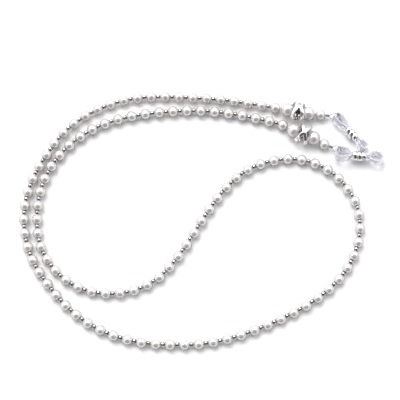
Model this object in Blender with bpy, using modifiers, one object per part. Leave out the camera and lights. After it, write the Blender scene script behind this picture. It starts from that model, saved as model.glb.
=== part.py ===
"""Beaded eyeglasses chain, laid in one loose loop on a table.

Small imitation pearls and seed beads are strung on a beading wire. Each end carries two large pearls
with a crossed-ring spacer between them, an end pearl and a crimp bead, and the wire then forms a loop
that holds a rubber grip: a ring of flat band, squeezed into two loops by a ribbed sleeve.
"""

import math

import bmesh
import bpy
from mathutils import Matrix, Vector

MM = 0.001
UP = Vector((0, 0, 1))

# Beads
PEARL_R = 2.25 * MM
LARGE_PEARL_R = 2.95 * MM
SEED_R = 0.95 * MM
BORE_R = 0.5 * MM
BARE_END_R = 0.65 * MM  # of a pearl's flat end where no seed bead follows it
SHOULDER = 0.53 * PEARL_R
PEARL_COUNT = 111
PEARLS_PER_RUN = 3
GAP = 0.15 * MM  # between neighbouring solids on the wire

# Crossed-ring spacer
SPACER_R = 4.25 * MM  # from the wire to the outside of its rings
SPACER_BAND_R = 0.5 * MM
SPACER_LEAN = math.radians(29)  # of each ring from the plane square to the wire
HUB_LENGTH = 2.8 * MM
HUB_R = 1.2 * MM
HUB_BORE_R = 0.65 * MM
BAR_R = 0.5 * MM

# Wire and crimp
WIRE_R = 0.19 * MM
CRIMP_LENGTH = 1.2 * MM
CRIMP_R = 0.8 * MM
CRIMP_BORE_R = 0.6 * MM
LEG_OFFSET = 0.3 * MM  # of the wire's two legs from the crimp's axis
LOOP_REACH = 2.5 * MM  # from the crimp's end to the middle of the wire loop
LOOP_HALF_LENGTH = 1.7 * MM
LOOP_SHOULDER = 1.0 * MM  # half of its straight top
LOOP_HALF_HEIGHT = 2.2 * MM

# Rubber grip, in its own frame: x runs from the eye on the wire loop to the loop for the temple arm
BAND_THICKNESS = 1.0 * MM
BAND_WIDTH = 3.2 * MM
BAND_WIDTH_SQUEEZED = 2.2 * MM
SQUEEZED_FROM = -3.6 * MM
SQUEEZED_TO = 4.1 * MM
SQUEEZED_HALF_GAP = 0.6 * MM  # from the grip's axis to a strand's centre line inside the sleeve
SQUEEZE_BLEND = 1.6 * MM
LOOP_SHAPE = (  # share of the way from the squeezed part to the loop's tip, share of its half width
    (0.1, 0.42),
    (0.24, 0.76),
    (0.46, 0.98),
    (0.72, 1.0),
    (0.93, 0.6),
)
GRIP_ROLL = math.radians(28)  # the loops lean about the grip's axis

# Ribbed sleeve
SLEEVE_LENGTH = 6.1 * MM
SLEEVE_R = 2.15 * MM
SLEEVE_GROOVE_R = 1.85 * MM
SLEEVE_BORE_R = 1.65 * MM
SLEEVE_RIBS = 3

# How each end lies: the turn of its spacer about the wire, the heading of its wire loop, the heading,
# slope and height of its grip, the tip and half width of the band's eye and of its temple loop, and
# the point of the band, in mm, that the wire loop goes round
ENDS = {
    "rear": {
        "spacer_turn": math.radians(-35),
        "wire_heading": math.radians(-4),
        "heading": math.radians(-50),
        "slope": 0.0,
        "height": 2.55 * MM,
        "eye": (-10.7 * MM, 1.85 * MM),
        "temple": (8.9 * MM, 1.7 * MM),
        "held_at": (-10.6, -0.5),
    },
    "front": {
        "spacer_turn": 0.0,
        "wire_heading": math.radians(-27),
        "heading": math.radians(-6.5),
        "slope": math.radians(-2.9),
        "height": 3.3 * MM,
        "eye": (-10.2 * MM, 2.8 * MM),
        "temple": (10.0 * MM, 2.6 * MM),
        "held_at": (-9.35, 2.1),
    },
}

# The strand's centre line on the table, in mm, from the rear crimp to the front crimp
ROUTE = (
    (54.1, 44.9),
    (51.2, 45.2),
    (46.0, 45.5),
    (41.1, 46.4),
    (36.5, 47.3),
    (31.2, 48.5),
    (20.1, 50.3),
    (8.4, 52.0),
    (-3.6, 52.8),
    (-15.3, 53.3),
    (-27.3, 52.8),
    (-39.3, 50.0),
    (-50.4, 44.7),
    (-59.6, 37.1),
    (-66.6, 27.5),
    (-72.3, 16.8),
    (-75.2, 5.3),
    (-74.9, -6.5),
    (-71.3, -18.0),
    (-64.4, -28.5),
    (-56.4, -37.5),
    (-46.8, -44.8),
    (-36.1, -49.7),
    (-24.4, -52.4),
    (-12.4, -53.2),
    (-0.5, -52.9),
    (11.3, -50.7),
    (22.7, -46.9),
    (33.7, -42.2),
    (44.4, -36.5),
    (54.2, -29.3),
    (62.0, -19.9),
    (66.4, -8.5),
    (66.4, 3.3),
    (61.5, 13.7),
    (52.4, 21.9),
    (41.3, 25.6),
    (29.6, 24.8),
    (18.6, 20.4),
    (9.7, 12.5),
    (2.6, 3.1),
    (-3.8, -6.9),
    (-10.5, -16.9),
    (-18.8, -25.7),
    (-29.3, -30.8),
    (-40.8, -31.9),
    (-52.1, -29.2),
    (-61.6, -22.3),
    (-68.1, -11.9),
    (-69.9, -0.3),
    (-68.8, 11.5),
    (-64.5, 22.3),
    (-57.0, 31.7),
    (-47.1, 38.8),
    (-35.8, 43.3),
    (-24.2, 45.6),
    (-12.2, 46.8),
    (0.0, 47.0),
    (12.0, 45.8),
    (23.7, 43.6),
    (35.4, 40.5),
    (39.7, 37.9),
    (43.9, 36.2),
    (48.1, 34.6),
    (52.5, 32.2),
    (55.3, 31.1),
)

# Distances along the wire from the crimp's centre, at either end
AT_END_PEARL = CRIMP_LENGTH / 2 + GAP + PEARL_R
AT_OUTER_PEARL = AT_END_PEARL + PEARL_R + GAP + LARGE_PEARL_R
AT_SPACER = AT_OUTER_PEARL + LARGE_PEARL_R + GAP + HUB_LENGTH / 2
AT_INNER_PEARL = AT_SPACER + HUB_LENGTH / 2 + GAP + LARGE_PEARL_R
AT_LAST_PEARL = AT_INNER_PEARL + LARGE_PEARL_R + GAP + PEARL_R

COLOURS = {
    "pearl": ((0.86, 0.83, 0.77), 0.25, 0.0),
    "wire": ((0.45, 0.45, 0.46), 0.35, 1.0),
    "chrome": ((0.85, 0.85, 0.86), 0.1, 1.0),
    "rubber": ((0.84, 0.84, 0.88), 0.3, 0.0),
}


def clear_scene():
    for obj in list(bpy.data.objects):
        bpy.data.objects.remove(obj, do_unlink=True)


def new_collection(name):
    collection = bpy.data.collections.new(name)
    bpy.context.scene.collection.children.link(collection)
    return collection


def make_material(name):
    colour, roughness, metallic = COLOURS[name]
    material = bpy.data.materials.new(name)
    material.use_nodes = True
    shader = material.node_tree.nodes["Principled BSDF"]
    shader.inputs["Base Color"].default_value = (*colour, 1)
    shader.inputs["Roughness"].default_value = roughness
    shader.inputs["Metallic"].default_value = metallic
    material.diffuse_color = (*colour, 1)
    return material


def place(obj, collection, material=None, matrix=None):
    """Links an object, with its material and its place in the world."""
    collection.objects.link(obj)
    if material:
        obj.data.materials.append(material)
    if matrix:
        obj.matrix_world = matrix
    return obj


# ---- curves


def curve_through(points, closed=False, per_span=8):
    """Points on a smooth curve (centripetal Catmull-Rom) through the given points."""
    points = [Vector(point) for point in points]
    if closed:
        points = [points[-1], *points, points[0], points[1]]
    else:
        points = [2 * points[0] - points[1], *points, 2 * points[-1] - points[-2]]
    curve = []
    for a, b, c, d in zip(points, points[1:], points[2:], points[3:]):
        ta = 0.0
        tb = ta + math.sqrt((b - a).length)
        tc = tb + math.sqrt((c - b).length)
        td = tc + math.sqrt((d - c).length)
        for step in range(per_span):
            t = tb + (tc - tb) * step / per_span
            ab = a.lerp(b, (t - ta) / (tb - ta))
            bc = b.lerp(c, (t - tb) / (tc - tb))
            cd = c.lerp(d, (t - tc) / (td - tc))
            abc = ab.lerp(bc, (t - ta) / (tc - ta))
            bcd = bc.lerp(cd, (t - tb) / (td - tb))
            curve.append(abc.lerp(bcd, (t - tb) / (tc - tb)))
    if not closed:
        curve.append(points[-2])
    return curve


class Strand:
    """The wire's centre line: distances run from the rear crimp to the front crimp."""

    def __init__(self):
        self.points = curve_through([(x * MM, y * MM) for x, y in ROUTE])
        self.distances = [0.0]
        for a, b in zip(self.points, self.points[1:]):
            self.distances.append(self.distances[-1] + (b - a).length)
        self.length = self.distances[-1]
        self.pitch = (self.length - 2 * AT_LAST_PEARL) / (PEARL_COUNT - 1)

    def height(self, distance):
        """The wire lies a pearl's radius up, and is lifted where a spacer's rings stand on the table."""
        from_end = min(distance, self.length - distance)
        reach = AT_LAST_PEARL - AT_SPACER
        share = min(abs(from_end - AT_SPACER) / reach, 1.0)
        return PEARL_R + (SPACER_R - PEARL_R) * math.cos(share * math.pi / 2) ** 2

    def point(self, distance):
        i = 0
        while i < len(self.points) - 2 and self.distances[i + 1] < distance:
            i += 1
        share = (distance - self.distances[i]) / (self.distances[i + 1] - self.distances[i])
        x, y = self.points[i].lerp(self.points[i + 1], share)
        return Vector((x, y, self.height(distance)))

    def from_end(self, end, distance):
        """The point at this distance from the crimp of this end, which may lie beyond the crimp."""
        return self.point(distance if end == "rear" else self.length - distance)

    def outward(self, end, distance):
        """The direction towards this end's grip."""
        step = 0.2 * MM
        return (self.from_end(end, distance - step) - self.from_end(end, distance + step)).normalized()

    def pearl_at(self, index):
        return AT_LAST_PEARL + index * self.pitch


def frame_along(point, direction):
    """A matrix whose Z runs along direction and whose Y is as upright as it can be."""
    z = direction.normalized()
    x = UP.cross(z).normalized()
    y = z.cross(x)
    return Matrix.Translation(point) @ Matrix((x, y, z)).transposed().to_4x4()


# ---- shapes


def turned(name, profile, steps, collection, material, matrix):
    """A ring turned about Z from a closed profile of (radius, z), down its outer side and back up."""
    mesh = bpy.data.meshes.new(name)
    edges = [(i, (i + 1) % len(profile)) for i in range(len(profile))]
    mesh.from_pydata([(r, 0, z) for r, z in profile], edges, [])
    obj = place(bpy.data.objects.new(name, mesh), collection, material, matrix)
    screw = obj.modifiers.new("turn", "SCREW")
    screw.steps = steps
    screw.render_steps = steps
    screw.use_merge_vertices = True
    screw.merge_threshold = 0.00001
    return obj


def tube_curve(name, points, radius, bevel_resolution=1, scales=None):
    """A wire along a POLY spline, with closed ends and, if wished, a scale at each point."""
    data = bpy.data.curves.new(name, "CURVE")
    data.dimensions = "3D"
    data.bevel_depth = radius
    data.bevel_resolution = bevel_resolution
    data.use_fill_caps = True
    data.twist_mode = "Z_UP"
    spline = data.splines.new("POLY")
    spline.points.add(len(points) - 1)
    for i, point in enumerate(points):
        spline.points[i].co = (*point, 1)
        spline.points[i].radius = scales[i] if scales else 1.0
    spline.use_smooth = True
    return bpy.data.objects.new(name, data)


def as_mesh(curve_object, name):
    """The curve's surface as a closed mesh object, ready for a Boolean."""
    bpy.context.scene.collection.objects.link(curve_object)
    graph = bpy.context.evaluated_depsgraph_get()
    mesh = bpy.data.meshes.new_from_object(curve_object.evaluated_get(graph))
    bpy.data.objects.remove(curve_object)
    shape = bmesh.new()
    shape.from_mesh(mesh)
    bmesh.ops.remove_doubles(shape, verts=shape.verts, dist=0.000001)
    bmesh.ops.recalc_face_normals(shape, faces=shape.faces)
    shape.to_mesh(mesh)
    shape.free()
    return bpy.data.objects.new(name, mesh)


def combine(obj, operation, other, cutters):
    """Adds a Boolean with another object, which becomes a hidden helper."""
    if other.name not in cutters.objects:
        cutters.objects.link(other)
    other.hide_render = True
    other.display_type = "WIRE"
    boolean = obj.modifiers.new(operation.lower(), "BOOLEAN")
    boolean.operation = operation
    boolean.object = other


def primitive(name, add, matrix=None, **sizes):
    """A mesh primitive that is in no collection yet, placed by matrix after its own placing."""
    add(**sizes)
    obj = bpy.context.object
    obj.name = name
    for collection in obj.users_collection:
        collection.objects.unlink(obj)
    if matrix:
        obj.matrix_world = matrix @ obj.matrix_world
    return obj


# ---- strand


def make_strand_wire(strand, parts, material):
    """The wire through the small pearls, bent only at their centres as their bores are."""
    points = [strand.point(strand.pearl_at(i)) for i in range(PEARL_COUNT)]
    place(tube_curve("strand_wire", points, WIRE_R), parts, material)


def pearl_rings(back_r, front_r):
    """(distance ahead of the centre, radius) of a pearl's rings, with a flat end each way."""
    rings = [(-math.sqrt(PEARL_R**2 - back_r**2), back_r)]
    for ahead in (-SHOULDER, 0.0, SHOULDER):
        rings.append((ahead, math.sqrt(PEARL_R**2 - ahead**2)))
    return rings + [(math.sqrt(PEARL_R**2 - front_r**2), front_r)]


def make_pearl_run(strand, number, parts, cutters, material):
    """Three small pearls, each with the seed bead after it, strung on one bore."""
    first = number * PEARLS_PER_RUN
    last = first + PEARLS_PER_RUN - 1
    ends_strand = last == PEARL_COUNT - 1
    points, scales = [], []
    for index in range(first, last + 1):
        back_r = BARE_END_R if index == 0 else SEED_R
        front_r = BARE_END_R if index == PEARL_COUNT - 1 else SEED_R
        for ahead, radius in pearl_rings(back_r, front_r):
            points.append(strand.point(strand.pearl_at(index) + ahead))
            scales.append(radius / PEARL_R)
    if not ends_strand:
        next_pearl_face = math.sqrt(PEARL_R**2 - SEED_R**2)
        points.append(strand.point(strand.pearl_at(last + 1) - next_pearl_face - 2 * GAP))
        scales.append(SEED_R / PEARL_R)
    name = f"pearl_run_{number + 1:02d}"
    body = as_mesh(tube_curve(name + "_curve", points, PEARL_R, 2, scales), name)
    place(body, parts, material)
    beyond = 2 * PEARL_R
    through = [strand.pearl_at(i) for i in range(first - 1, last + 2)]
    if number == 0:
        through[0] = through[1] - beyond
    if ends_strand:
        through[-1] = through[-2] + beyond
    bore = tube_curve(name + "_bore_curve", [strand.point(at) for at in through], BORE_R)
    combine(body, "DIFFERENCE", as_mesh(bore, name + "_bore"), cutters)


# ---- ends


def ball_profile(radius, bore, rings=8):
    """Closed profile of a bored ball, down the outside and up the bore."""
    start = math.asin(bore / radius)
    span = math.pi - 2 * start
    angles = [start + span * i / rings for i in range(rings + 1)]
    return [(radius * math.sin(angle), radius * math.cos(angle)) for angle in angles]


def make_end_beads(strand, end, parts, pearl):
    large = ball_profile(LARGE_PEARL_R, BORE_R)
    small = ball_profile(PEARL_R, BORE_R, rings=6)
    for name, at, profile, steps in (
        ("inner_pearl", AT_INNER_PEARL, large, 12),
        ("outer_pearl", AT_OUTER_PEARL, large, 12),
        ("end_pearl", AT_END_PEARL, small, 10),
    ):
        matrix = frame_along(strand.from_end(end, at), strand.outward(end, at))
        turned(f"{end}_{name}", profile, steps, parts, pearl, matrix)


def tube_profile(outer, bore, length):
    return [(outer, length / 2), (outer, -length / 2), (bore, -length / 2), (bore, length / 2)]


def spacer_ring(name, lean, matrix):
    """One ring of the spacer: round when seen along the wire, so long across its lean."""
    ring = primitive(
        name,
        bpy.ops.mesh.primitive_torus_add,
        matrix,
        major_segments=16,
        minor_segments=6,
        major_radius=SPACER_R - SPACER_BAND_R,
        minor_radius=SPACER_BAND_R,
    )
    ring.data.transform(Matrix.Diagonal((1 / math.cos(lean), 1, 1, 1)))
    ring.data.transform(Matrix.Rotation(lean, 4, "Y"))
    return ring


def make_spacer(strand, end, parts, cutters, material):
    """Two rings crossing on a bar, with the hub that the wire runs through."""
    matrix = frame_along(strand.from_end(end, AT_SPACER), strand.outward(end, AT_SPACER))
    matrix = matrix @ Matrix.Rotation(ENDS[end]["spacer_turn"], 4, "Z")
    name = f"{end}_x_spacer"
    cylinder = bpy.ops.mesh.primitive_cylinder_add
    crosswise = {"vertices": 8, "radius": BAR_R, "rotation": (math.pi / 2, 0, 0)}
    ring = place(spacer_ring(name, SPACER_LEAN, matrix), parts, material)
    ring.data.shade_smooth()
    second = spacer_ring(name + "_second_ring", -SPACER_LEAN, matrix)
    bar = primitive(name + "_bar", cylinder, matrix, depth=2 * (SPACER_R - SPACER_BAND_R), **crosswise)
    hub = primitive(name + "_hub", cylinder, matrix, vertices=12, radius=HUB_R, depth=HUB_LENGTH)
    bore = primitive(name + "_bore", cylinder, matrix, vertices=12, radius=HUB_BORE_R, depth=2 * HUB_LENGTH)
    for tool in (second, bar, hub):
        combine(ring, "UNION", tool, cutters)
    combine(ring, "DIFFERENCE", bore, cutters)


def make_crimp(strand, end, parts, material):
    matrix = frame_along(strand.from_end(end, 0), strand.outward(end, 0))
    profile = tube_profile(CRIMP_R, CRIMP_BORE_R, CRIMP_LENGTH)
    turned(f"{end}_crimp_bead", profile, 12, parts, material, matrix)


def wire_loop(steps=6):
    """(ahead, up) from the middle of the wire loop: over the band, round its far end and back under."""
    points = [(-LOOP_SHOULDER, LOOP_HALF_HEIGHT)]
    for i in range(steps + 1):
        angle = math.pi / 2 - math.pi * i / steps
        ahead = LOOP_SHOULDER + (LOOP_HALF_LENGTH - LOOP_SHOULDER) * math.cos(angle)
        points.append((ahead, LOOP_HALF_HEIGHT * math.sin(angle)))
    points.append((-LOOP_SHOULDER, -LOOP_HALF_HEIGHT))
    return points


def make_tail_wire(strand, end, frame, parts, material):
    """From the last small pearl through the end's beads, round the wire loop and back into the crimp."""
    start = AT_LAST_PEARL - PEARL_R - GAP / 2
    into_crimp = CRIMP_LENGTH / 2 + GAP + 0.4 * MM
    count = 14
    spacing = (start - into_crimp) / (count - 1)
    points = [strand.from_end(end, start - i * spacing) for i in range(count)]
    crimp = strand.from_end(end, 0)
    x, y = ENDS[end]["held_at"]
    loop_centre = frame @ rolled(x * MM, y * MM, 0)
    ahead = wire_ahead(end)
    half = CRIMP_LENGTH / 2
    points += [crimp - ahead * half + UP * LEG_OFFSET, crimp + ahead * half + UP * LEG_OFFSET]
    lean = frame.to_3x3() @ rolled(0, 0, 1)
    points += [loop_centre + ahead * along + lean * up for along, up in wire_loop()]
    points += [crimp + ahead * half - UP * LEG_OFFSET, crimp - ahead * half * 0.6 - UP * LEG_OFFSET]
    place(tube_curve(f"{end}_tail_wire", points, WIRE_R), parts, material)


# ---- rubber grips


def smooth_step(value):
    value = min(max(value, 0.0), 1.0)
    return value * value * (3 - 2 * value)


def band_width(x):
    """The band is squeezed narrow where the sleeve slides on it."""
    outside = max(SQUEEZED_FROM - x, x - SQUEEZED_TO)
    return BAND_WIDTH_SQUEEZED + (BAND_WIDTH - BAND_WIDTH_SQUEEZED) * smooth_step(outside / SQUEEZE_BLEND)


def grip_outline(end):
    """The band's centre line, flat: from the eye's tip round the temple loop's tip and back."""
    upper = []
    for base, (tip, half_width) in ((SQUEEZED_FROM, ENDS[end]["eye"]), (SQUEEZED_TO, ENDS[end]["temple"])):
        side = [(base + (tip - base) * share, half_width * across) for share, across in LOOP_SHAPE]
        upper.append([(base, SQUEEZED_HALF_GAP), *side, (tip, 0.0)])
    eye, temple = upper
    upper = [*reversed(eye), (0.0, SQUEEZED_HALF_GAP), *temple]
    lower = [(x, -y) for x, y in reversed(upper[1:-1])]
    return curve_through(upper + lower, closed=True, per_span=2)


def rolled(x, y, z):
    """A point of the flat grip after it leans about its axis, near side up."""
    return Matrix.Rotation(-GRIP_ROLL, 3, "X") @ Vector((x, y, z))


def wire_ahead(end):
    heading = ENDS[end]["wire_heading"]
    return Vector((math.cos(heading), math.sin(heading), 0))


def grip_frame(strand, end):
    """The grip's frame: its band's centre line passes through the point held by the wire loop."""
    held = strand.from_end(end, 0) + wire_ahead(end) * (CRIMP_LENGTH / 2 + LOOP_REACH)
    turn = Matrix.Rotation(ENDS[end]["heading"], 3, "Z") @ Matrix.Rotation(-ENDS[end]["slope"], 3, "Y")
    x, y = ENDS[end]["held_at"]
    offset = turn @ rolled(x * MM, y * MM, 0)
    origin = Vector((held.x - offset.x, held.y - offset.y, ENDS[end]["height"]))
    return Matrix.Translation(origin) @ turn.to_4x4()


def make_grip(end, frame, parts, material):
    """The flat band as a closed loft of its rectangular section along the outline."""
    outline = grip_outline(end)
    shape = bmesh.new()
    rings = []
    for i, point in enumerate(outline):
        along = outline[(i + 1) % len(outline)] - outline[i - 1]
        out = Vector((along.y, -along.x)).normalized() * BAND_THICKNESS / 2
        half = band_width(point.x) / 2
        corners = ((point + out, half), (point + out, -half), (point - out, -half), (point - out, half))
        rings.append([shape.verts.new(rolled(co.x, co.y, z)) for co, z in corners])
    for i, ring in enumerate(rings):
        after = rings[(i + 1) % len(rings)]
        for j in range(4):
            k = (j + 1) % 4
            shape.faces.new((ring[j], ring[k], after[k], after[j]))
    bmesh.ops.recalc_face_normals(shape, faces=shape.faces)
    mesh = bpy.data.meshes.new(f"{end}_grip_loop")
    shape.to_mesh(mesh)
    shape.free()
    place(bpy.data.objects.new(f"{end}_grip_loop", mesh), parts, material, frame)


def make_sleeve(end, frame, parts, material):
    """A short tube with rounded ribs round it."""
    pitch = SLEEVE_LENGTH / SLEEVE_RIBS
    profile = []
    for rib in range(SLEEVE_RIBS):
        top = SLEEVE_LENGTH / 2 - rib * pitch
        profile.append((SLEEVE_GROOVE_R, top))
        profile.append((SLEEVE_R, top - 0.3 * pitch))
        profile.append((SLEEVE_R, top - 0.7 * pitch))
    profile += [(SLEEVE_GROOVE_R, -SLEEVE_LENGTH / 2), (SLEEVE_BORE_R, -SLEEVE_LENGTH / 2)]
    profile.append((SLEEVE_BORE_R, SLEEVE_LENGTH / 2))
    matrix = frame @ Matrix.Rotation(math.pi / 2, 4, "Y")
    turned(f"{end}_ribbed_sleeve", profile, 14, parts, material, matrix)


def main():
    clear_scene()
    parts = new_collection("eyeglasses_chain")
    cutters = new_collection("cutters")
    cutters.hide_render = True
    materials = {name: make_material(name) for name in COLOURS}
    strand = Strand()
    make_strand_wire(strand, parts, materials["wire"])
    for number in range(PEARL_COUNT // PEARLS_PER_RUN):
        make_pearl_run(strand, number, parts, cutters, materials["pearl"])
    for end in ENDS:
        frame = grip_frame(strand, end)
        make_end_beads(strand, end, parts, materials["pearl"])
        make_spacer(strand, end, parts, cutters, materials["chrome"])
        make_crimp(strand, end, parts, materials["wire"])
        make_tail_wire(strand, end, frame, parts, materials["wire"])
        make_grip(end, frame, parts, materials["rubber"])
        make_sleeve(end, frame, parts, materials["chrome"])


main()
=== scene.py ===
"""Looks of the beaded eyeglasses chain, on the frame of its CAD model.

Each pearl, seed bead, crossed-ring spacer, crimp, wire, rubber band and coil replaces its CAD node.
"""

import math
import random

import bpy
from mathutils import Matrix, Vector


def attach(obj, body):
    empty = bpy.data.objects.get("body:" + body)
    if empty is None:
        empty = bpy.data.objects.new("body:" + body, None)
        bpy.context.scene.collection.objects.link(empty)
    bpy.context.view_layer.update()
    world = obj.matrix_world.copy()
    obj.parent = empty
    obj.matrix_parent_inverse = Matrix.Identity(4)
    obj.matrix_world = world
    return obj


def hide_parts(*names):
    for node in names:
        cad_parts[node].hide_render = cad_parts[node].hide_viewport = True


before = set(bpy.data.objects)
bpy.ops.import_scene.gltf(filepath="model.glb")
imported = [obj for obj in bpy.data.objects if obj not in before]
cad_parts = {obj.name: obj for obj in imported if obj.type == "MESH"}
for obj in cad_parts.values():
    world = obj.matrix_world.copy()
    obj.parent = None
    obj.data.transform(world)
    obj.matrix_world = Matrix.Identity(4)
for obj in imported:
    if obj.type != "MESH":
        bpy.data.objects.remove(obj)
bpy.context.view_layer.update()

MM = 0.001
UP = Vector((0, 0, 1))

# Strand, as in the CAD
PEARL_R = 2.25 * MM
LARGE_PEARL_R = 2.95 * MM
PEARL_COUNT = 111
PEARLS_PER_RUN = 3
RUNS_PER_GROUP = 4
GAP = 0.15 * MM
SPACER_R = 4.25 * MM
HUB_LENGTH = 2.8 * MM
WIRE_R = 0.19 * MM
CRIMP_LENGTH = 1.2 * MM
LEG_OFFSET = 0.3 * MM
LOOP_REACH = 2.5 * MM
AT_END_PEARL = CRIMP_LENGTH / 2 + GAP + PEARL_R
AT_OUTER_PEARL = AT_END_PEARL + PEARL_R + GAP + LARGE_PEARL_R
AT_SPACER = AT_OUTER_PEARL + LARGE_PEARL_R + GAP + HUB_LENGTH / 2
AT_INNER_PEARL = AT_SPACER + HUB_LENGTH / 2 + GAP + LARGE_PEARL_R
AT_LAST_PEARL = AT_INNER_PEARL + LARGE_PEARL_R + GAP + PEARL_R

# Finer shape of the beads, which the CAD leaves out
RANDOM_SEED = 11
PEARL_BORE_R = 0.42 * MM
PEARL_CHAMFER = 0.14 * MM
PEARL_MOST_TILT = math.radians(2)
PEARL_MOST_GROWTH = 0.008
SEED_R = 0.98 * MM
SEED_BORE_R = 0.36 * MM
SEED_HALF_LENGTH = 0.71 * MM
SEED_ROUNDNESS = 0.42  # exponent of its outline: 1 is an ellipse, 0 a cylinder
SEED_PAINTED_SHADE = 0.3  # how far painted shade darkens its middle, from 0 to 1; its ends are wholly darkened
SEED_MOST_TILT = math.radians(5)
SEED_MOST_GROWTH = 0.02

# Rubber grip and its coil, as in the CAD
BAND_THICKNESS = 1.0 * MM
BAND_WIDTH = 3.2 * MM
BAND_WIDTH_SQUEEZED = 2.2 * MM
SQUEEZED_FROM = -3.6 * MM
SQUEEZED_TO = 4.1 * MM
SQUEEZED_HALF_GAP = 0.6 * MM
SQUEEZE_BLEND = 1.6 * MM
# Share of the way from the squeezed part to the loop's tip, and share of the loop's half width
LOOP_SHAPE = (
    (0.1, 0.42),
    (0.24, 0.76),
    (0.46, 0.98),
    (0.72, 1.0),
    (0.93, 0.6),
)
GRIP_ROLL = math.radians(28)
SLEEVE_LENGTH = 6.1 * MM
ENDS = {
    "rear": {
        "spacer_turn": math.radians(-35),
        "wire_heading": math.radians(-4),
        "heading": math.radians(-50),
        "slope": 0.0,
        "height": 2.55 * MM,
        "eye": (-10.7 * MM, 1.85 * MM),
        "temple": (8.9 * MM, 1.7 * MM),
        "held_at": (-10.6, -0.5),
    },
    "front": {
        "spacer_turn": 0.0,
        "wire_heading": math.radians(-27),
        "heading": math.radians(-6.5),
        "slope": math.radians(-2.9),
        "height": 3.3 * MM,
        "eye": (-10.2 * MM, 2.8 * MM),
        "temple": (10.0 * MM, 2.6 * MM),
        "held_at": (-9.35, 2.1),
    },
}

# The strand's centre line on the table, in mm, from the rear crimp to the front crimp, as in the CAD
ROUTE = (
    (54.1, 44.9),
    (51.2, 45.2),
    (46.0, 45.5),
    (41.1, 46.4),
    (36.5, 47.3),
    (31.2, 48.5),
    (20.1, 50.3),
    (8.4, 52.0),
    (-3.6, 52.8),
    (-15.3, 53.3),
    (-27.3, 52.8),
    (-39.3, 50.0),
    (-50.4, 44.7),
    (-59.6, 37.1),
    (-66.6, 27.5),
    (-72.3, 16.8),
    (-75.2, 5.3),
    (-74.9, -6.5),
    (-71.3, -18.0),
    (-64.4, -28.5),
    (-56.4, -37.5),
    (-46.8, -44.8),
    (-36.1, -49.7),
    (-24.4, -52.4),
    (-12.4, -53.2),
    (-0.5, -52.9),
    (11.3, -50.7),
    (22.7, -46.9),
    (33.7, -42.2),
    (44.4, -36.5),
    (54.2, -29.3),
    (62.0, -19.9),
    (66.4, -8.5),
    (66.4, 3.3),
    (61.5, 13.7),
    (52.4, 21.9),
    (41.3, 25.6),
    (29.6, 24.8),
    (18.6, 20.4),
    (9.7, 12.5),
    (2.6, 3.1),
    (-3.8, -6.9),
    (-10.5, -16.9),
    (-18.8, -25.7),
    (-29.3, -30.8),
    (-40.8, -31.9),
    (-52.1, -29.2),
    (-61.6, -22.3),
    (-68.1, -11.9),
    (-69.9, -0.3),
    (-68.8, 11.5),
    (-64.5, 22.3),
    (-57.0, 31.7),
    (-47.1, 38.8),
    (-35.8, 43.3),
    (-24.2, 45.6),
    (-12.2, 46.8),
    (0.0, 47.0),
    (12.0, 45.8),
    (23.7, 43.6),
    (35.4, 40.5),
    (39.7, 37.9),
    (43.9, 36.2),
    (48.1, 34.6),
    (52.5, 32.2),
    (55.3, 31.1),
)


# ---- curves


def smooth_step(value):
    value = min(max(value, 0.0), 1.0)
    return value * value * (3 - 2 * value)


def curve_through(points, closed=False, per_span=8):
    """Points on a smooth curve (centripetal Catmull-Rom) through the given points."""
    points = [Vector(point) for point in points]
    if closed:
        points = [points[-1], *points, points[0], points[1]]
    else:
        points = [2 * points[0] - points[1], *points, 2 * points[-1] - points[-2]]
    curve = []
    for a, b, c, d in zip(points, points[1:], points[2:], points[3:]):
        ta = 0.0
        tb = ta + math.sqrt((b - a).length)
        tc = tb + math.sqrt((c - b).length)
        td = tc + math.sqrt((d - c).length)
        for step in range(per_span):
            t = tb + (tc - tb) * step / per_span
            ab = a.lerp(b, (t - ta) / (tb - ta))
            bc = b.lerp(c, (t - tb) / (tc - tb))
            cd = c.lerp(d, (t - tc) / (td - tc))
            abc = ab.lerp(bc, (t - ta) / (tc - ta))
            bcd = bc.lerp(cd, (t - tb) / (td - tb))
            curve.append(abc.lerp(bcd, (t - tb) / (tc - tb)))
    if not closed:
        curve.append(points[-2])
    return curve


class Strand:
    """The wire's centre line: distances run from the rear crimp to the front crimp."""

    def __init__(self):
        self.points = curve_through([(x * MM, y * MM) for x, y in ROUTE])
        self.distances = [0.0]
        for a, b in zip(self.points, self.points[1:]):
            self.distances.append(self.distances[-1] + (b - a).length)
        self.length = self.distances[-1]
        self.pitch = (self.length - 2 * AT_LAST_PEARL) / (PEARL_COUNT - 1)

    def height(self, distance):
        """Small pearls lie on the table, and the large spacer near each end lifts its neighbours."""
        from_end = min(distance, self.length - distance)
        reach = AT_LAST_PEARL - AT_SPACER
        share = min(abs(from_end - AT_SPACER) / reach, 1.0)
        return PEARL_R + (SPACER_R - PEARL_R) * math.cos(share * math.pi / 2) ** 2

    def point(self, distance):
        i = 0
        while i < len(self.points) - 2 and self.distances[i + 1] < distance:
            i += 1
        share = (distance - self.distances[i]) / (self.distances[i + 1] - self.distances[i])
        x, y = self.points[i].lerp(self.points[i + 1], share)
        return Vector((x, y, self.height(distance)))

    def along(self, distance, step=0.2 * MM):
        return (self.point(distance + step) - self.point(distance - step)).normalized()

    def from_end(self, end, distance):
        return self.point(distance if end == "rear" else self.length - distance)

    def outward(self, end, distance):
        """The wire's direction towards this end's crimp."""
        step = 0.2 * MM
        ahead = self.from_end(end, distance - step)
        return (ahead - self.from_end(end, distance + step)).normalized()

    def pearl_at(self, index):
        return AT_LAST_PEARL + index * self.pitch


def frame_along(point, direction):
    """A matrix whose Z runs along direction and whose Y is as upright as it can be."""
    z = direction.normalized()
    x = UP.cross(z).normalized()
    y = z.cross(x)
    return Matrix.Translation(point) @ Matrix((x, y, z)).transposed().to_4x4()


# ---- meshes


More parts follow.
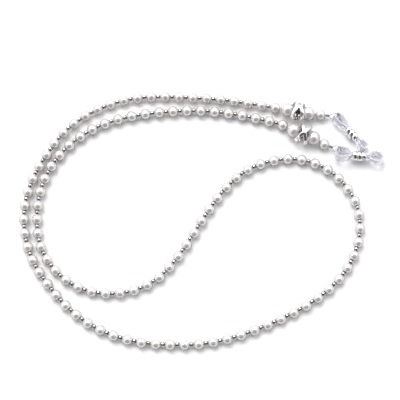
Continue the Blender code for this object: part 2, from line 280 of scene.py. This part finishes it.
class Shape:
    """Gathers closed shapes into one mesh."""

    def __init__(self):
        self.points = []
        self.faces = []
        self.painted_shade = []

    def add(self, points, faces, matrix=None, painted_shade=None):
        """The last argument says how far each point is darkened by painted shade, from 0 to 1, in
        hollows and between parts.
        """
        first = len(self.points)
        self.points += [matrix @ point for point in points] if matrix else points
        self.faces += [tuple(first + i for i in face) for face in faces]
        self.painted_shade += painted_shade or [0.0] * len(points)

    def piece(self, name, material):
        mesh = bpy.data.meshes.new(name)
        mesh.from_pydata(self.points, [], self.faces)
        mesh.attributes.new("painted_shade", "FLOAT", "POINT").data.foreach_set("value", self.painted_shade)
        mesh.shade_smooth()
        mesh.materials.append(material)
        obj = bpy.data.objects.new(name, mesh)
        bpy.context.scene.collection.objects.link(obj)
        return obj


def lathe(profile, sides):
    """A ring turned about Z from a closed profile of (radius, z) that runs down its outer side."""
    points, faces = [], []
    count = len(profile)
    for side in range(sides):
        angle = 2 * math.pi * side / sides
        points += [Vector((r * math.cos(angle), r * math.sin(angle), z)) for r, z in profile]
    for side in range(sides):
        here = side * count
        there = (side + 1) % sides * count
        for i in range(count):
            j = (i + 1) % count
            faces.append((here + i, here + j, there + j, there + i))
    return points, faces


def loft(rings, closed):
    """Faces over rings of equal size: a closed ring of rings, or a tube with flat ends."""
    points = [point for ring in rings for point in ring]
    count = len(rings[0])
    spans = len(rings) if closed else len(rings) - 1
    faces = []
    for i in range(spans):
        here = i * count
        there = (i + 1) % len(rings) * count
        for j in range(count):
            k = (j + 1) % count
            faces.append((here + j, here + k, there + k, there + j))
    if not closed:
        faces.append(tuple(reversed(range(count))))
        faces.append(tuple(len(points) - count + j for j in range(count)))
    return points, faces


def tube(points, radius, sides=12):
    """A round wire along the points, with flat ends."""
    rings = []
    for i, point in enumerate(points):
        along = (points[min(i + 1, len(points) - 1)] - points[max(i - 1, 0)]).normalized()
        if i == 0:
            across = along.orthogonal().normalized()
        else:
            across = (across - along * across.dot(along)).normalized()
        other = along.cross(across)
        ring = []
        for side in range(sides):
            angle = 2 * math.pi * side / sides
            ring.append(point + radius * (math.cos(angle) * across + math.sin(angle) * other))
        rings.append(ring)
    return loft(rings, closed=False)


def rounded_section(half_width, half_height, corner, steps=4):
    """A rounded rectangle, as (x, y) points."""
    section = []
    for sx, sy, start in ((1, 1, 0.0), (-1, 1, 0.5), (-1, -1, 1.0), (1, -1, 1.5)):
        for step in range(steps + 1):
            angle = math.pi * (start + 0.5 * step / steps)
            x = sx * (half_width - corner) + corner * math.cos(angle)
            y = sy * (half_height - corner) + corner * math.sin(angle)
            section.append((x, y))
    return section


# ---- beads


def pearl_profile(radius, rings):
    """Outline of a drilled pearl, with a small worn chamfer at each mouth of its bore."""
    start = math.asin((PEARL_BORE_R + PEARL_CHAMFER) / radius)
    profile = []
    for i in range(rings + 1):
        angle = start + (math.pi - 2 * start) * i / rings
        profile.append((radius * math.sin(angle), radius * math.cos(angle)))
    bore_end = radius * math.cos(start) - 0.1 * MM
    return profile + [(PEARL_BORE_R, z) for z in (-bore_end, 0.0, bore_end)]


def seed_profile():
    """Outline of a small rounded seed bead."""
    chamfer = 0.1 * MM
    mouth = SEED_BORE_R + 0.12 * MM
    profile = [(SEED_BORE_R + chamfer, SEED_HALF_LENGTH)]
    rings = 10
    for i in range(1, rings):
        angle = math.pi * i / rings
        radius = mouth + (SEED_R - mouth) * math.sin(angle) ** SEED_ROUNDNESS
        profile.append((radius, SEED_HALF_LENGTH * math.cos(angle)))
    profile.append((SEED_BORE_R + chamfer, -SEED_HALF_LENGTH))
    bore_end = SEED_HALF_LENGTH - chamfer
    return profile + [(SEED_BORE_R, -bore_end), (SEED_BORE_R, bore_end)]


def jittered(matrix, chance, turn, grow):
    """The matrix with a small seeded tilt, a free roll about its Z and a small change of size."""
    tilt = Matrix.Rotation(chance.uniform(-turn, turn), 4, "X")
    tilt = tilt @ Matrix.Rotation(chance.uniform(-turn, turn), 4, "Y")
    roll = Matrix.Rotation(chance.uniform(0, 2 * math.pi), 4, "Z")
    size = Matrix.Diagonal((1 + chance.uniform(-grow, grow),) * 3).to_4x4()
    return matrix @ tilt @ roll @ size


def make_strand_beads(strand, materials):
    """Groups of small pearls and of the seed beads between them, each for a few CAD runs."""
    chance = random.Random(RANDOM_SEED)
    pearl = lathe(pearl_profile(PEARL_R, rings=16), sides=30)
    seed = lathe(seed_profile(), sides=22)
    # Painted shade on each seed bead: some over its middle, full at its ends between the pearls.
    toward_end = [smooth_step(abs(point.z) / SEED_HALF_LENGTH) for point in seed[0]]
    seed_painted_shade = [SEED_PAINTED_SHADE + (1 - SEED_PAINTED_SHADE) * share for share in toward_end]
    runs = PEARL_COUNT // PEARLS_PER_RUN
    pieces = []
    groups = runs // RUNS_PER_GROUP
    for group in range(groups):
        first = group * RUNS_PER_GROUP
        last = runs if group == groups - 1 else first + RUNS_PER_GROUP
        pearls = Shape()
        seeds = Shape()
        for index in range(first * PEARLS_PER_RUN, last * PEARLS_PER_RUN):
            at = strand.pearl_at(index)
            place = frame_along(strand.point(at), strand.along(at))
            pearls.add(*pearl, jittered(place, chance, PEARL_MOST_TILT, PEARL_MOST_GROWTH))
            if index < PEARL_COUNT - 1:
                at += strand.pitch / 2
                place = frame_along(strand.point(at), strand.along(at))
                place = jittered(place, chance, SEED_MOST_TILT, SEED_MOST_GROWTH)
                seeds.add(*seed, place, seed_painted_shade)
        body = pearls.piece(f"small_pearls_{group + 1}", materials["pearl"])
        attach(body, "strand")
        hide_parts(*[f"pearl_run_{n + 1:02d}" for n in range(first, last)])
        between = seeds.piece(f"seed_beads_{group + 1}", materials["silver"])
        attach(between, "strand")
        pieces += [body, between]
    return pieces


def make_wire(strand, materials):
    """The beading wire through the small pearls."""
    data = bpy.data.curves.new("beading_wire", "CURVE")
    data.dimensions = "3D"
    data.bevel_depth = WIRE_R
    data.bevel_resolution = 2
    data.use_fill_caps = True
    half_pitches = 2 * (PEARL_COUNT - 1)
    spline = data.splines.new("POLY")
    spline.points.add(half_pitches)
    for i in range(half_pitches + 1):
        spline.points[i].co = (*strand.point(AT_LAST_PEARL + i * strand.pitch / 2), 1)
    spline.use_smooth = True
    data.materials.append(materials["wire"])
    wire = bpy.data.objects.new("beading_wire", data)
    bpy.context.scene.collection.objects.link(wire)
    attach(wire, "strand")
    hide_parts("strand_wire")
    return wire


def make_end_pearls(strand, end, materials):
    for name, at, radius, body, rings, sides in (
        ("inner_pearl", AT_INNER_PEARL, LARGE_PEARL_R, "inner_pearl", 26, 48),
        ("outer_pearl", AT_OUTER_PEARL, LARGE_PEARL_R, "outer_pearl", 26, 48),
        ("end_pearl", AT_END_PEARL, PEARL_R, "tail", 20, 36),
    ):
        shape = Shape()
        place = frame_along(strand.from_end(end, at), strand.outward(end, at))
        shape.add(*lathe(pearl_profile(radius, rings), sides), place)
        piece = shape.piece(f"{end}_{name}_nacre", materials["pearl"])
        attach(piece, f"{end}_{body}")
        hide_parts(f"{end}_{name}")


# ---- spacer


def spacer_ring(lean):
    """One flat band of the spacer: round when seen along the wire, so long across its lean."""
    half_width = 0.84 * MM
    half_thickness = 0.36 * MM
    corner = 0.28 * MM
    most_crown = 0.16 * MM
    inner_width = 0.62  # of the outer width, which leaves room for the pearls as the spacer turns
    middle_r = SPACER_R - most_crown - half_thickness
    section = rounded_section(half_width, half_thickness, corner)
    rings = []
    steps = 72
    for step in range(steps):
        angle = 2 * math.pi * step / steps
        radial = Vector((math.cos(angle), math.sin(angle), 0))
        ring = []
        for across, out in section:
            crown = most_crown * (1 - (across / half_width) ** 2)
            point = radial * (middle_r + out + (crown if out > 0 else 0))
            point.z = across * (1.0 if out > 0 else inner_width)
            point.x /= math.cos(lean)
            ring.append(Matrix.Rotation(lean, 3, "Y") @ point)
        rings.append(ring)
    return loft(rings, closed=True)


def make_spacer(strand, end, materials):
    """Two bands crossing on a post, melted into one casting, on a bored hub."""
    shape = Shape()
    for lean in (math.radians(29), math.radians(-29)):
        shape.add(*spacer_ring(lean))
    post = [Vector((0, y * MM, 0)) for y in (-3.9, -2.0, 0.0, 2.0, 3.9)]
    shape.add(*tube(post, radius=0.55 * MM))
    hub_r, belly_r, bore_r = 1.2 * MM, 1.25 * MM, 0.62 * MM
    hub_end = HUB_LENGTH / 2
    hub = [(hub_r, hub_end), (belly_r, 0.0), (hub_r, -hub_end), (bore_r, -hub_end), (bore_r, hub_end)]
    rough = shape.piece(f"{end}_spacer_rough", materials["silver"])
    melt(rough, voxel=0.13 * MM)
    place = frame_along(strand.from_end(end, AT_SPACER), strand.outward(end, AT_SPACER))
    place = place @ Matrix.Rotation(ENDS[end]["spacer_turn"], 4, "Z")
    cast = Shape()
    skin = [v.co.copy() for v in rough.data.vertices]
    # Painted shade: the casting darkens towards the wire's axis, over its post and the inner sides of
    # its bands.
    bright_from, blend = 3.3 * MM, 0.4 * MM
    shade_share = [smooth_step((bright_from - point.xy.length) / blend) for point in skin]
    cast.add(skin, [tuple(p.vertices) for p in rough.data.polygons], place, shade_share)
    # The hub is wholly darkened by painted shade.
    core = lathe(hub, sides=40)
    cast.add(*core, place, [1.0] * len(core[0]))
    bpy.data.objects.remove(rough)
    piece = cast.piece(f"{end}_crossed_spacer", materials["silver"])
    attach(piece, f"{end}_spacer")
    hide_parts(f"{end}_x_spacer")


def melt(obj, voxel):
    """Joins overlapping shapes into one skin with softened inner corners."""
    remesh = obj.modifiers.new("join", "REMESH")
    remesh.mode = "VOXEL"
    remesh.voxel_size = voxel
    smooth = obj.modifiers.new("soften", "SMOOTH")
    smooth.factor = 0.5
    smooth.iterations = 5
    bpy.context.view_layer.update()
    graph = bpy.context.evaluated_depsgraph_get()
    mesh = bpy.data.meshes.new_from_object(obj.evaluated_get(graph))
    obj.modifiers.clear()
    obj.data = mesh


# ---- wire ends


def make_crimp(strand, end, materials):
    """A short tube pinched flat in its middle onto the wire's two legs."""
    radius = 0.74 * MM
    wall = 0.14 * MM
    most_pinch = 0.26 * MM
    most_spread = 0.05 * MM
    section_steps = 32
    rings = []
    stations = 15
    outer = []
    for i in range(stations):
        share = i / (stations - 1)
        z = CRIMP_LENGTH * (share - 0.5)
        pinch = math.sin(math.pi * share) ** 1.5
        lip = 0.05 * MM if i in (0, stations - 1) else 0.0
        outer.append((z, radius - lip - most_pinch * pinch, radius - lip + most_spread * pinch))
    inner = [(z, flat - wall, wide - wall) for z, flat, wide in reversed(outer)]
    for z, flat, wide in outer + inner:
        ring = []
        for step in range(section_steps):
            angle = 2 * math.pi * step / section_steps
            ring.append(Vector((flat * math.cos(angle), wide * math.sin(angle), z)))
        rings.append(ring)
    shape = Shape()
    place = frame_along(strand.from_end(end, 0), strand.outward(end, 0))
    shape.add(*loft(rings, closed=True), place)
    piece = shape.piece(f"{end}_crimped_tube", materials["crimp"])
    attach(piece, f"{end}_tail")
    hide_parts(f"{end}_crimp_bead")


def make_tail_wire(strand, end, grip, materials):
    """From the last small pearl through the end's beads, round the band and back into the crimp."""
    crimp = strand.from_end(end, 0)
    x, y = ENDS[end]["held_at"]
    loop_centre = grip @ rolled(x * MM, y * MM, 0)
    ahead = wire_ahead(end)
    lean = grip.to_3x3() @ rolled(0, 0, 1)
    half = CRIMP_LENGTH / 2
    start = AT_LAST_PEARL - PEARL_R - GAP / 2
    stop = half + GAP + 0.4 * MM
    count = 16
    route = [strand.from_end(end, start + (stop - start) * i / (count - 1)) for i in range(count)]
    route += [crimp + ahead * x + UP * LEG_OFFSET for x in (-half, 0.0, half)]
    # Over the band and back under it, in mm ahead of the held point and across the band
    over = ((-0.9, 2.05), (0.0, 2.2), (0.85, 2.05), (1.5, 1.25), (1.72, 0.0))
    under = ((1.5, -1.25), (0.85, -2.05), (0.0, -2.2), (-0.9, -2.05))
    route += [loop_centre + (ahead * x + lean * up) * MM for x, up in over + under]
    route += [crimp + ahead * x - UP * LEG_OFFSET for x in (half, 0.0, -half * 0.8)]
    shape = Shape()
    shape.add(*tube(curve_through(route, per_span=5), WIRE_R, 14))
    piece = shape.piece(f"{end}_wire_loop", materials["wire"])
    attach(piece, f"{end}_tail")
    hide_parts(f"{end}_tail_wire")


# ---- rubber grips


def band_width(x):
    outside = max(SQUEEZED_FROM - x, x - SQUEEZED_TO)
    wider = (BAND_WIDTH - BAND_WIDTH_SQUEEZED) * smooth_step(outside / SQUEEZE_BLEND)
    return BAND_WIDTH_SQUEEZED + wider


def grip_outline(end, per_span=9):
    """The band's centre line, flat: from the eye's tip round the temple loop's tip and back."""
    upper = []
    loops = ((SQUEEZED_FROM, ENDS[end]["eye"]), (SQUEEZED_TO, ENDS[end]["temple"]))
    for base, (tip, half_width) in loops:
        side = [(base + (tip - base) * share, half_width * across) for share, across in LOOP_SHAPE]
        upper.append([(base, SQUEEZED_HALF_GAP), *side, (tip, 0.0)])
    eye, temple = upper
    upper = [*reversed(eye), (0.0, SQUEEZED_HALF_GAP), *temple]
    lower = [(x, -y) for x, y in reversed(upper[1:-1])]
    return curve_through(upper + lower, closed=True, per_span=per_span)


def rolled(x, y, z):
    """A point of the flat grip after it leans about its axis, near side up."""
    return Matrix.Rotation(-GRIP_ROLL, 3, "X") @ Vector((x, y, z))


def wire_ahead(end):
    heading = ENDS[end]["wire_heading"]
    return Vector((math.cos(heading), math.sin(heading), 0))


def grip_frame(strand, end):
    """The grip's frame: its band's centre line passes through the point held by the wire loop."""
    held = strand.from_end(end, 0) + wire_ahead(end) * (CRIMP_LENGTH / 2 + LOOP_REACH)
    turn = Matrix.Rotation(ENDS[end]["heading"], 3, "Z") @ Matrix.Rotation(-ENDS[end]["slope"], 3, "Y")
    x, y = ENDS[end]["held_at"]
    offset = turn @ rolled(x * MM, y * MM, 0)
    origin = Vector((held.x - offset.x, held.y - offset.y, ENDS[end]["height"]))
    return Matrix.Translation(origin) @ turn.to_4x4()


def make_band(end, grip, materials):
    """The flat rubber band, as a loft of a rounded section along its outline."""
    outline = grip_outline(end)
    corner = 0.28 * MM
    rings = []
    for i, point in enumerate(outline):
        along = outline[(i + 1) % len(outline)] - outline[i - 1]
        out = Vector((along.y, -along.x)).normalized()
        ring = []
        half = band_width(point.x) / 2
        for across, z in rounded_section(BAND_THICKNESS / 2, half, corner):
            at = point + out * across
            ring.append(rolled(at.x, at.y, z))
        rings.append(ring)
    shape = Shape()
    shape.add(*loft(rings, closed=True), grip)
    piece = shape.piece(f"{end}_rubber_band", materials["rubber"])
    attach(piece, f"{end}_grip")
    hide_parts(f"{end}_grip_loop")


def make_coil(end, grip, materials):
    """Flat half-round wire wound close round the band's two strands."""
    pitch = 1.92 * MM
    half_width = 0.93 * MM
    inner = 1.63 * MM
    shoulder = inner + 0.08 * MM
    crown = 0.48 * MM
    roundness = 0.62  # exponent of its crown: 1 is an ellipse, 0 a box
    # Painted shade between the turns: the wire darkens towards its inner side, where the turns meet.
    dark_to, blend = inner + 0.34 * MM, 0.26 * MM
    turns = (SLEEVE_LENGTH - 2 * half_width) / pitch
    section = [(-half_width, inner), (-half_width, shoulder)]
    arc = 10
    for i in range(1, arc):
        angle = math.pi * (1 - i / arc)
        top = shoulder + crown * math.sin(angle) ** roundness
        section.append((half_width * math.cos(angle), top))
    section += [(half_width, shoulder), (half_width, inner)]
    section.reverse()
    rings = []
    steps_per_turn = 64
    steps = int(turns * steps_per_turn)
    for step in range(steps + 1):
        share = step / steps - 0.5
        angle = 2 * math.pi * turns * share + math.pi / 2
        radial = Vector((0, math.cos(angle), math.sin(angle)))
        centre = Vector((pitch * turns * share, 0, 0))
        rings.append([centre + Vector((x, 0, 0)) + radial * r for x, r in section])
    shade_share = [smooth_step((dark_to - r) / blend) for _, r in section]
    shape = Shape()
    shape.add(*loft(rings, closed=False), grip, shade_share * len(rings))
    piece = shape.piece(f"{end}_wound_coil", materials["silver"])
    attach(piece, f"{end}_sleeve")
    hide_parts(f"{end}_ribbed_sleeve")


# ---- materials


def shader_of(name):
    """A new material, its node tree and its shader."""
    material = bpy.data.materials.new(name)
    material.use_nodes = True
    return material, material.node_tree, material.node_tree.nodes["Principled BSDF"]


def noise(tree, scale, detail=2.0):
    """Cloudy noise over the object, with a scale in cycles per metre."""
    where = tree.nodes.new("ShaderNodeTexCoord")
    texture = tree.nodes.new("ShaderNodeTexNoise")
    texture.inputs["Scale"].default_value = scale
    texture.inputs["Detail"].default_value = detail
    tree.links.new(where.outputs["Object"], texture.inputs["Vector"])
    return texture.outputs["Fac"]


def blend_of(tree, factor, low, high):
    """A colour ramp between two colours over the middle of a factor's range."""
    ramp = tree.nodes.new("ShaderNodeValToRGB")
    ramp.color_ramp.elements[0].position = 0.3
    ramp.color_ramp.elements[0].color = (*low, 1)
    ramp.color_ramp.elements[1].position = 0.7
    ramp.color_ramp.elements[1].color = (*high, 1)
    tree.links.new(factor, ramp.inputs["Fac"])
    return ramp.outputs["Color"]


def range_of(tree, factor, low, high):
    """The factor, from 0 to 1, spread between two numbers."""
    span = tree.nodes.new("ShaderNodeMapRange")
    span.inputs["To Min"].default_value = low
    span.inputs["To Max"].default_value = high
    tree.links.new(factor, span.inputs["Value"])
    return span.outputs["Result"]


def bump(tree, shader, factor, distance, strength):
    """Fine relief as deep as the distance, in metres."""
    relief = tree.nodes.new("ShaderNodeBump")
    relief.inputs["Distance"].default_value = distance
    relief.inputs["Strength"].default_value = strength
    tree.links.new(factor, relief.inputs["Height"])
    tree.links.new(relief.outputs["Normal"], shader.inputs["Normal"])


def tinted(tree, first, second, share):
    """Two colours mixed by an amount, up to the share, that is random from bead to bead."""
    island = tree.nodes.new("ShaderNodeNewGeometry")
    amount = range_of(tree, island.outputs["Random Per Island"], 0.0, share)
    mix = tree.nodes.new("ShaderNodeMix")
    mix.data_type = "RGBA"
    tree.links.new(amount, mix.inputs["Factor"])
    tree.links.new(first, mix.inputs["A"])
    mix.inputs["B"].default_value = (*second, 1)
    return mix.outputs["Result"]


def darkened_by_painted_shade(tree, bright, dark):
    """The bright colour, darkened by painted shade where the mesh's attribute marks hollows and parts
    that sit between others.
    """
    shade_share = tree.nodes.new("ShaderNodeAttribute")
    shade_share.attribute_name = "painted_shade"
    mix = tree.nodes.new("ShaderNodeMix")
    mix.data_type = "RGBA"
    tree.links.new(shade_share.outputs["Fac"], mix.inputs["Factor"])
    tree.links.new(bright, mix.inputs["A"])
    mix.inputs["B"].default_value = (*dark, 1)
    return mix.outputs["Result"]


def pearl_material():
    """Pearlescent coat: a warm white that mirrors its surroundings softly under a thin gloss."""
    material, tree, shader = shader_of("pearl_coat")
    cloud = noise(tree, 420, detail=3)
    base = blend_of(tree, cloud, (0.76, 0.744, 0.724), (0.82, 0.806, 0.79))
    colour = tinted(tree, base, (0.82, 0.79, 0.77), share=0.6)
    tree.links.new(colour, shader.inputs["Base Color"])
    tree.links.new(range_of(tree, noise(tree, 900), 0.2, 0.3), shader.inputs["Roughness"])
    shader.inputs["Metallic"].default_value = 0.6
    shader.inputs["Specular IOR Level"].default_value = 0.15
    shader.inputs["Specular Tint"].default_value = (0.05, 0.05, 0.05, 1)
    shader.inputs["Coat Weight"].default_value = 0.12
    shader.inputs["Coat Roughness"].default_value = 0.06
    shader.inputs["Coat Tint"].default_value = (0.93, 0.925, 0.92, 1)
    bump(tree, shader, noise(tree, 700, detail=3), distance=0.03 * MM, strength=0.25)
    return material


def silver_material():
    """Bright silver plate, darkened by painted shade in its hollows and where it sits between other
    parts.
    """
    material, tree, shader = shader_of("silver_plate")
    cloud = noise(tree, 600, detail=3)
    base = blend_of(tree, cloud, (0.86, 0.855, 0.85), (0.95, 0.945, 0.94))
    bright = tinted(tree, base, (0.8, 0.79, 0.78), share=0.5)
    # Painted shade: the colour goes to near-black where the mesh attribute marks hollows, the coil's
    # grooves and the seed beads' ends.
    tree.links.new(darkened_by_painted_shade(tree, bright, (0.1, 0.085, 0.085)), shader.inputs["Base Color"])
    tree.links.new(range_of(tree, noise(tree, 1500, detail=4), 0.06, 0.16), shader.inputs["Roughness"])
    shader.inputs["Metallic"].default_value = 1.0
    bump(tree, shader, noise(tree, 1200, detail=4), distance=0.02 * MM, strength=0.2)
    return material


def wire_material():
    """Bare grey beading wire."""
    material, tree, shader = shader_of("beading_wire_steel")
    base = blend_of(tree, noise(tree, 2500, detail=3), (0.36, 0.355, 0.34), (0.55, 0.545, 0.53))
    tree.links.new(base, shader.inputs["Base Color"])
    tree.links.new(range_of(tree, noise(tree, 3000), 0.3, 0.45), shader.inputs["Roughness"])
    shader.inputs["Metallic"].default_value = 1.0
    bump(tree, shader, noise(tree, 5000), distance=0.02 * MM, strength=0.3)
    return material


def crimp_material():
    """Dark plated crimp tube."""
    material, tree, shader = shader_of("crimp_gunmetal")
    base = blend_of(tree, noise(tree, 1800, detail=3), (0.2, 0.2, 0.205), (0.34, 0.335, 0.34))
    tree.links.new(base, shader.inputs["Base Color"])
    tree.links.new(range_of(tree, noise(tree, 2500), 0.22, 0.4), shader.inputs["Roughness"])
    shader.inputs["Metallic"].default_value = 1.0
    bump(tree, shader, noise(tree, 2200, detail=3), distance=0.03 * MM, strength=0.35)
    return material


def rubber_material():
    """Clear silicone, faintly milky and cool."""
    material, tree, shader = shader_of("clear_silicone")
    base = blend_of(tree, noise(tree, 300, detail=3), (0.66, 0.66, 0.745), (0.75, 0.75, 0.825))
    tree.links.new(base, shader.inputs["Base Color"])
    tree.links.new(range_of(tree, noise(tree, 800, detail=3), 0.2, 0.32), shader.inputs["Roughness"])
    shader.inputs["Transmission Weight"].default_value = 0.6
    shader.inputs["IOR"].default_value = 1.41
    bump(tree, shader, noise(tree, 500, detail=3), distance=0.05 * MM, strength=0.2)
    return material


# ---- stage


def make_camera():
    """The photograph's view: from high above the near side."""
    elevation = math.radians(79.5)
    distance = 493.2 * MM
    target = Vector((-0.8, 8.3, 0)) * MM
    away = Vector((0, -math.cos(elevation), math.sin(elevation)))
    data = bpy.data.cameras.new("camera")
    data.sensor_width = 36
    data.lens = 103.86
    data.clip_start = 0.01
    camera = bpy.data.objects.new("camera", data)
    camera.location = target + away * distance
    camera.rotation_euler = (math.pi / 2 - elevation, 0, 0)
    bpy.context.scene.collection.objects.link(camera)
    bpy.context.scene.camera = camera


def make_floor():
    """White paper, a little darker in what the beads mirror than it is to the camera."""
    mesh = bpy.data.meshes.new("floor")
    side = 3.0
    corners = [(-side, -side, 0), (side, -side, 0), (side, side, 0), (-side, side, 0)]
    mesh.from_pydata(corners, [], [(0, 1, 2, 3)])
    material, tree, shader = shader_of("white_paper")
    path = tree.nodes.new("ShaderNodeLightPath")
    paper = tree.nodes.new("ShaderNodeMix")
    paper.data_type = "RGBA"
    mirrored = (0.86, 0.86, 0.865, 1)
    seen = (0.93, 0.93, 0.935, 1)
    paper.inputs["A"].default_value = mirrored
    paper.inputs["B"].default_value = seen
    tree.links.new(path.outputs["Is Camera Ray"], paper.inputs["Factor"])
    tree.links.new(paper.outputs["Result"], shader.inputs["Base Color"])
    shader.inputs["Roughness"].default_value = 0.9
    mesh.materials.append(material)
    floor = bpy.data.objects.new("floor", mesh)
    bpy.context.scene.collection.objects.link(floor)


def make_world():
    """A white light tent, brighter overhead, with a round dark opening in front."""
    opening_height = math.radians(52)
    opening_dark_within = math.radians(42)
    opening_ends_at = math.radians(51)
    opening_x = 0.04
    horizon = (0.42, 0.42, 0.45, 1)
    overhead = (1.95, 1.95, 1.95, 1)
    opening_colour = (0.12, 0.112, 0.12, 1)
    backdrop_colour = (0.95, 0.95, 0.96, 1)
    world = bpy.data.worlds.new("tent")
    world.use_nodes = True
    bpy.context.scene.world = world
    tree = world.node_tree
    sky = tree.nodes["Background"]
    where = tree.nodes.new("ShaderNodeTexCoord")
    split = tree.nodes.new("ShaderNodeSeparateXYZ")
    tree.links.new(where.outputs["Generated"], split.inputs["Vector"])
    height = tree.nodes.new("ShaderNodeValToRGB")
    height.color_ramp.elements[0].position = 0.0
    height.color_ramp.elements[0].color = horizon
    height.color_ramp.elements[1].position = 0.9
    height.color_ramp.elements[1].color = overhead
    tree.links.new(split.outputs["Z"], height.inputs["Fac"])
    toward = tree.nodes.new("ShaderNodeVectorMath")
    toward.operation = "DOT_PRODUCT"
    front = Vector((opening_x, -math.cos(opening_height), math.sin(opening_height)))
    toward.inputs[1].default_value = front.normalized()
    tree.links.new(where.outputs["Generated"], toward.inputs[0])
    opening = tree.nodes.new("ShaderNodeMapRange")
    opening.interpolation_type = "SMOOTHSTEP"
    opening.inputs["From Min"].default_value = math.cos(opening_ends_at)
    opening.inputs["From Max"].default_value = math.cos(opening_dark_within)
    tree.links.new(toward.outputs["Value"], opening.inputs["Value"])
    dark = tree.nodes.new("ShaderNodeMix")
    dark.data_type = "RGBA"
    dark.inputs["B"].default_value = opening_colour
    tree.links.new(opening.outputs["Result"], dark.inputs["Factor"])
    tree.links.new(height.outputs["Color"], dark.inputs["A"])
    tree.links.new(dark.outputs["Result"], sky.inputs["Color"])
    backdrop = tree.nodes.new("ShaderNodeBackground")
    backdrop.inputs["Color"].default_value = backdrop_colour
    path = tree.nodes.new("ShaderNodeLightPath")
    either = tree.nodes.new("ShaderNodeMixShader")
    tree.links.new(path.outputs["Is Camera Ray"], either.inputs["Fac"])
    tree.links.new(sky.outputs["Background"], either.inputs[1])
    tree.links.new(backdrop.outputs["Background"], either.inputs[2])
    tree.links.new(either.outputs["Shader"], tree.nodes["World Output"].inputs["Surface"])


def make_light():
    """One large soft light from behind the object, a little to the left."""
    data = bpy.data.lights.new("soft_light", "SUN")
    data.energy = 1.9
    data.angle = math.radians(36)
    light = bpy.data.objects.new("soft_light", data)
    toward_light = Vector((-0.3, 0.75, 1.0))
    light.rotation_euler = toward_light.to_track_quat("Z", "Y").to_euler()
    bpy.context.scene.collection.objects.link(light)
    bpy.context.scene.view_settings.view_transform = "Standard"


def main():
    make_camera()
    materials = {
        "pearl": pearl_material(),
        "silver": silver_material(),
        "wire": wire_material(),
        "crimp": crimp_material(),
        "rubber": rubber_material(),
    }
    strand = Strand()
    wire = make_wire(strand, materials)
    beads = make_strand_beads(strand, materials)
    for end in ENDS:
        grip = grip_frame(strand, end)
        make_end_pearls(strand, end, materials)
        make_spacer(strand, end, materials)
        make_crimp(strand, end, materials)
        make_tail_wire(strand, end, grip, materials)
        make_band(end, grip, materials)
        make_coil(end, grip, materials)
    make_floor()
    make_world()
    make_light()


main()
